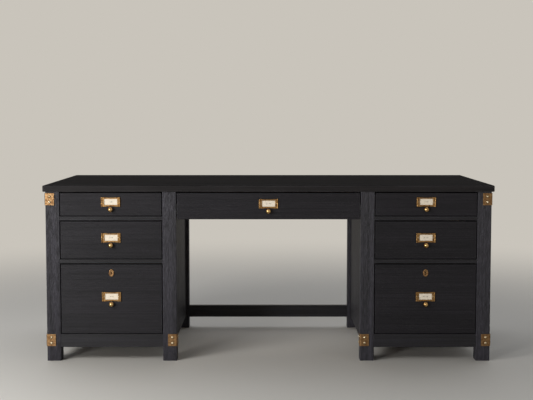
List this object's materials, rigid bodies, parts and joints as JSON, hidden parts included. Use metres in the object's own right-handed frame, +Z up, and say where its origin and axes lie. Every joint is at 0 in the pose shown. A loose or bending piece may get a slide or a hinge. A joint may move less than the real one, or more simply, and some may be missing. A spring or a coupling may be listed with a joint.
{
  "type": "executive desk",
  "caption": "Pedestal desk in charcoal oak with label-holder drawers, file drawers that lock, a wide pencil drawer over an open knee space, and brass corner straps.",
  "frame": {"origin": "on the floor, under the middle of the whole desk's box", "axes": "+X to the sitter's right as the front is faced, +Y to the back, +Z up"},
  "size_m": [1.94, 0.876, 0.762],
  "materials": {
    "charcoal_oak": "charcoal-stained brushed oak, matt",
    "drawer_wood": "clear-lacquered drawer boards",
    "carcass_wood": "stained hidden framing",
    "slide_steel": "zinc-plated steel",
    "aged_brass": "aged, lightly hammered brass",
    "bright_brass": "pale, polished brass screw heads"
  },
  "bodies": {
    "carcass": {"desk_top": "charcoal_oak", "left_front_outer_leg": "charcoal_oak", "left_front_inner_leg": "charcoal_oak", "left_rear_outer_leg": "charcoal_oak", "left_rear_inner_leg": "charcoal_oak", "left_outer_side_panel": "charcoal_oak", "left_inner_side_panel": "charcoal_oak", "left_apron": "charcoal_oak", "right_front_outer_leg": "charcoal_oak", "right_front_inner_leg": "charcoal_oak", "right_rear_outer_leg": "charcoal_oak", "right_rear_inner_leg": "charcoal_oak", "right_outer_side_panel": "charcoal_oak", "right_inner_side_panel": "charcoal_oak", "right_apron": "charcoal_oak", "upper_rails": "charcoal_oak", "lower_rails": "charcoal_oak", "back_panels": "charcoal_oak", "floor_panels": "carcass_wood", "kneehole_back_rail": "charcoal_oak", "stretcher": "charcoal_oak", "top_cleats": "carcass_wood", "slide_cleats": "carcass_wood", "cabinet_slides": "slide_steel", "corner_straps": "aged_brass", "strap_screws": "bright_brass", "top_screws": "slide_steel"},
    "left_top_drawer": {"left_top_front": "charcoal_oak", "left_top_box": "drawer_wood", "left_top_slides": "slide_steel", "left_top_pull": "aged_brass"},
    "left_middle_drawer": {"left_middle_front": "charcoal_oak", "left_middle_box": "drawer_wood", "left_middle_slides": "slide_steel", "left_middle_pull": "aged_brass"},
    "left_file_drawer": {"left_file_front": "charcoal_oak", "left_file_box": "drawer_wood", "left_file_slides": "slide_steel", "left_file_pull": "aged_brass", "left_file_lock": "aged_brass"},
    "right_top_drawer": {"right_top_front": "charcoal_oak", "right_top_box": "drawer_wood", "right_top_slides": "slide_steel", "right_top_pull": "aged_brass"},
    "right_middle_drawer": {"right_middle_front": "charcoal_oak", "right_middle_box": "drawer_wood", "right_middle_slides": "slide_steel", "right_middle_pull": "aged_brass"},
    "right_file_drawer": {"right_file_front": "charcoal_oak", "right_file_box": "drawer_wood", "right_file_slides": "slide_steel", "right_file_pull": "aged_brass", "right_file_lock": "aged_brass"},
    "centre_drawer": {"centre_front": "charcoal_oak", "centre_box": "drawer_wood", "centre_slides": "slide_steel", "centre_pull": "aged_brass"},
    "left_lock_bolt": {"left_file_lock_bolt": "aged_brass"},
    "right_lock_bolt": {"right_file_lock_bolt": "aged_brass"}
  },
  "joints": [
    {"name": "left_top_drawer_slide", "type": "slide", "parent": "carcass", "child": "left_top_drawer", "axis": [0, -1, 0], "range_m": [0, 0.45]},
    {"name": "left_middle_drawer_slide", "type": "slide", "parent": "carcass", "child": "left_middle_drawer", "axis": [0, -1, 0], "range_m": [0, 0.45]},
    {"name": "left_file_drawer_slide", "type": "slide", "parent": "carcass", "child": "left_file_drawer", "axis": [0, -1, 0], "range_m": [0, 0.45]},
    {"name": "right_top_drawer_slide", "type": "slide", "parent": "carcass", "child": "right_top_drawer", "axis": [0, -1, 0], "range_m": [0, 0.45]},
    {"name": "right_middle_drawer_slide", "type": "slide", "parent": "carcass", "child": "right_middle_drawer", "axis": [0, -1, 0], "range_m": [0, 0.45]},
    {"name": "right_file_drawer_slide", "type": "slide", "parent": "carcass", "child": "right_file_drawer", "axis": [0, -1, 0], "range_m": [0, 0.45]},
    {"name": "centre_drawer_slide", "type": "slide", "parent": "carcass", "child": "centre_drawer", "axis": [0, -1, 0], "range_m": [0, 0.45]},
    {"name": "left_lock_bolt_slide", "type": "slide", "parent": "left_file_drawer", "child": "left_lock_bolt", "axis": [0, 0, 1], "range_m": [0, 0.009]},
    {"name": "right_lock_bolt_slide", "type": "slide", "parent": "right_file_drawer", "child": "right_lock_bolt", "axis": [0, 0, 1], "range_m": [0, 0.009]}
  ]
}
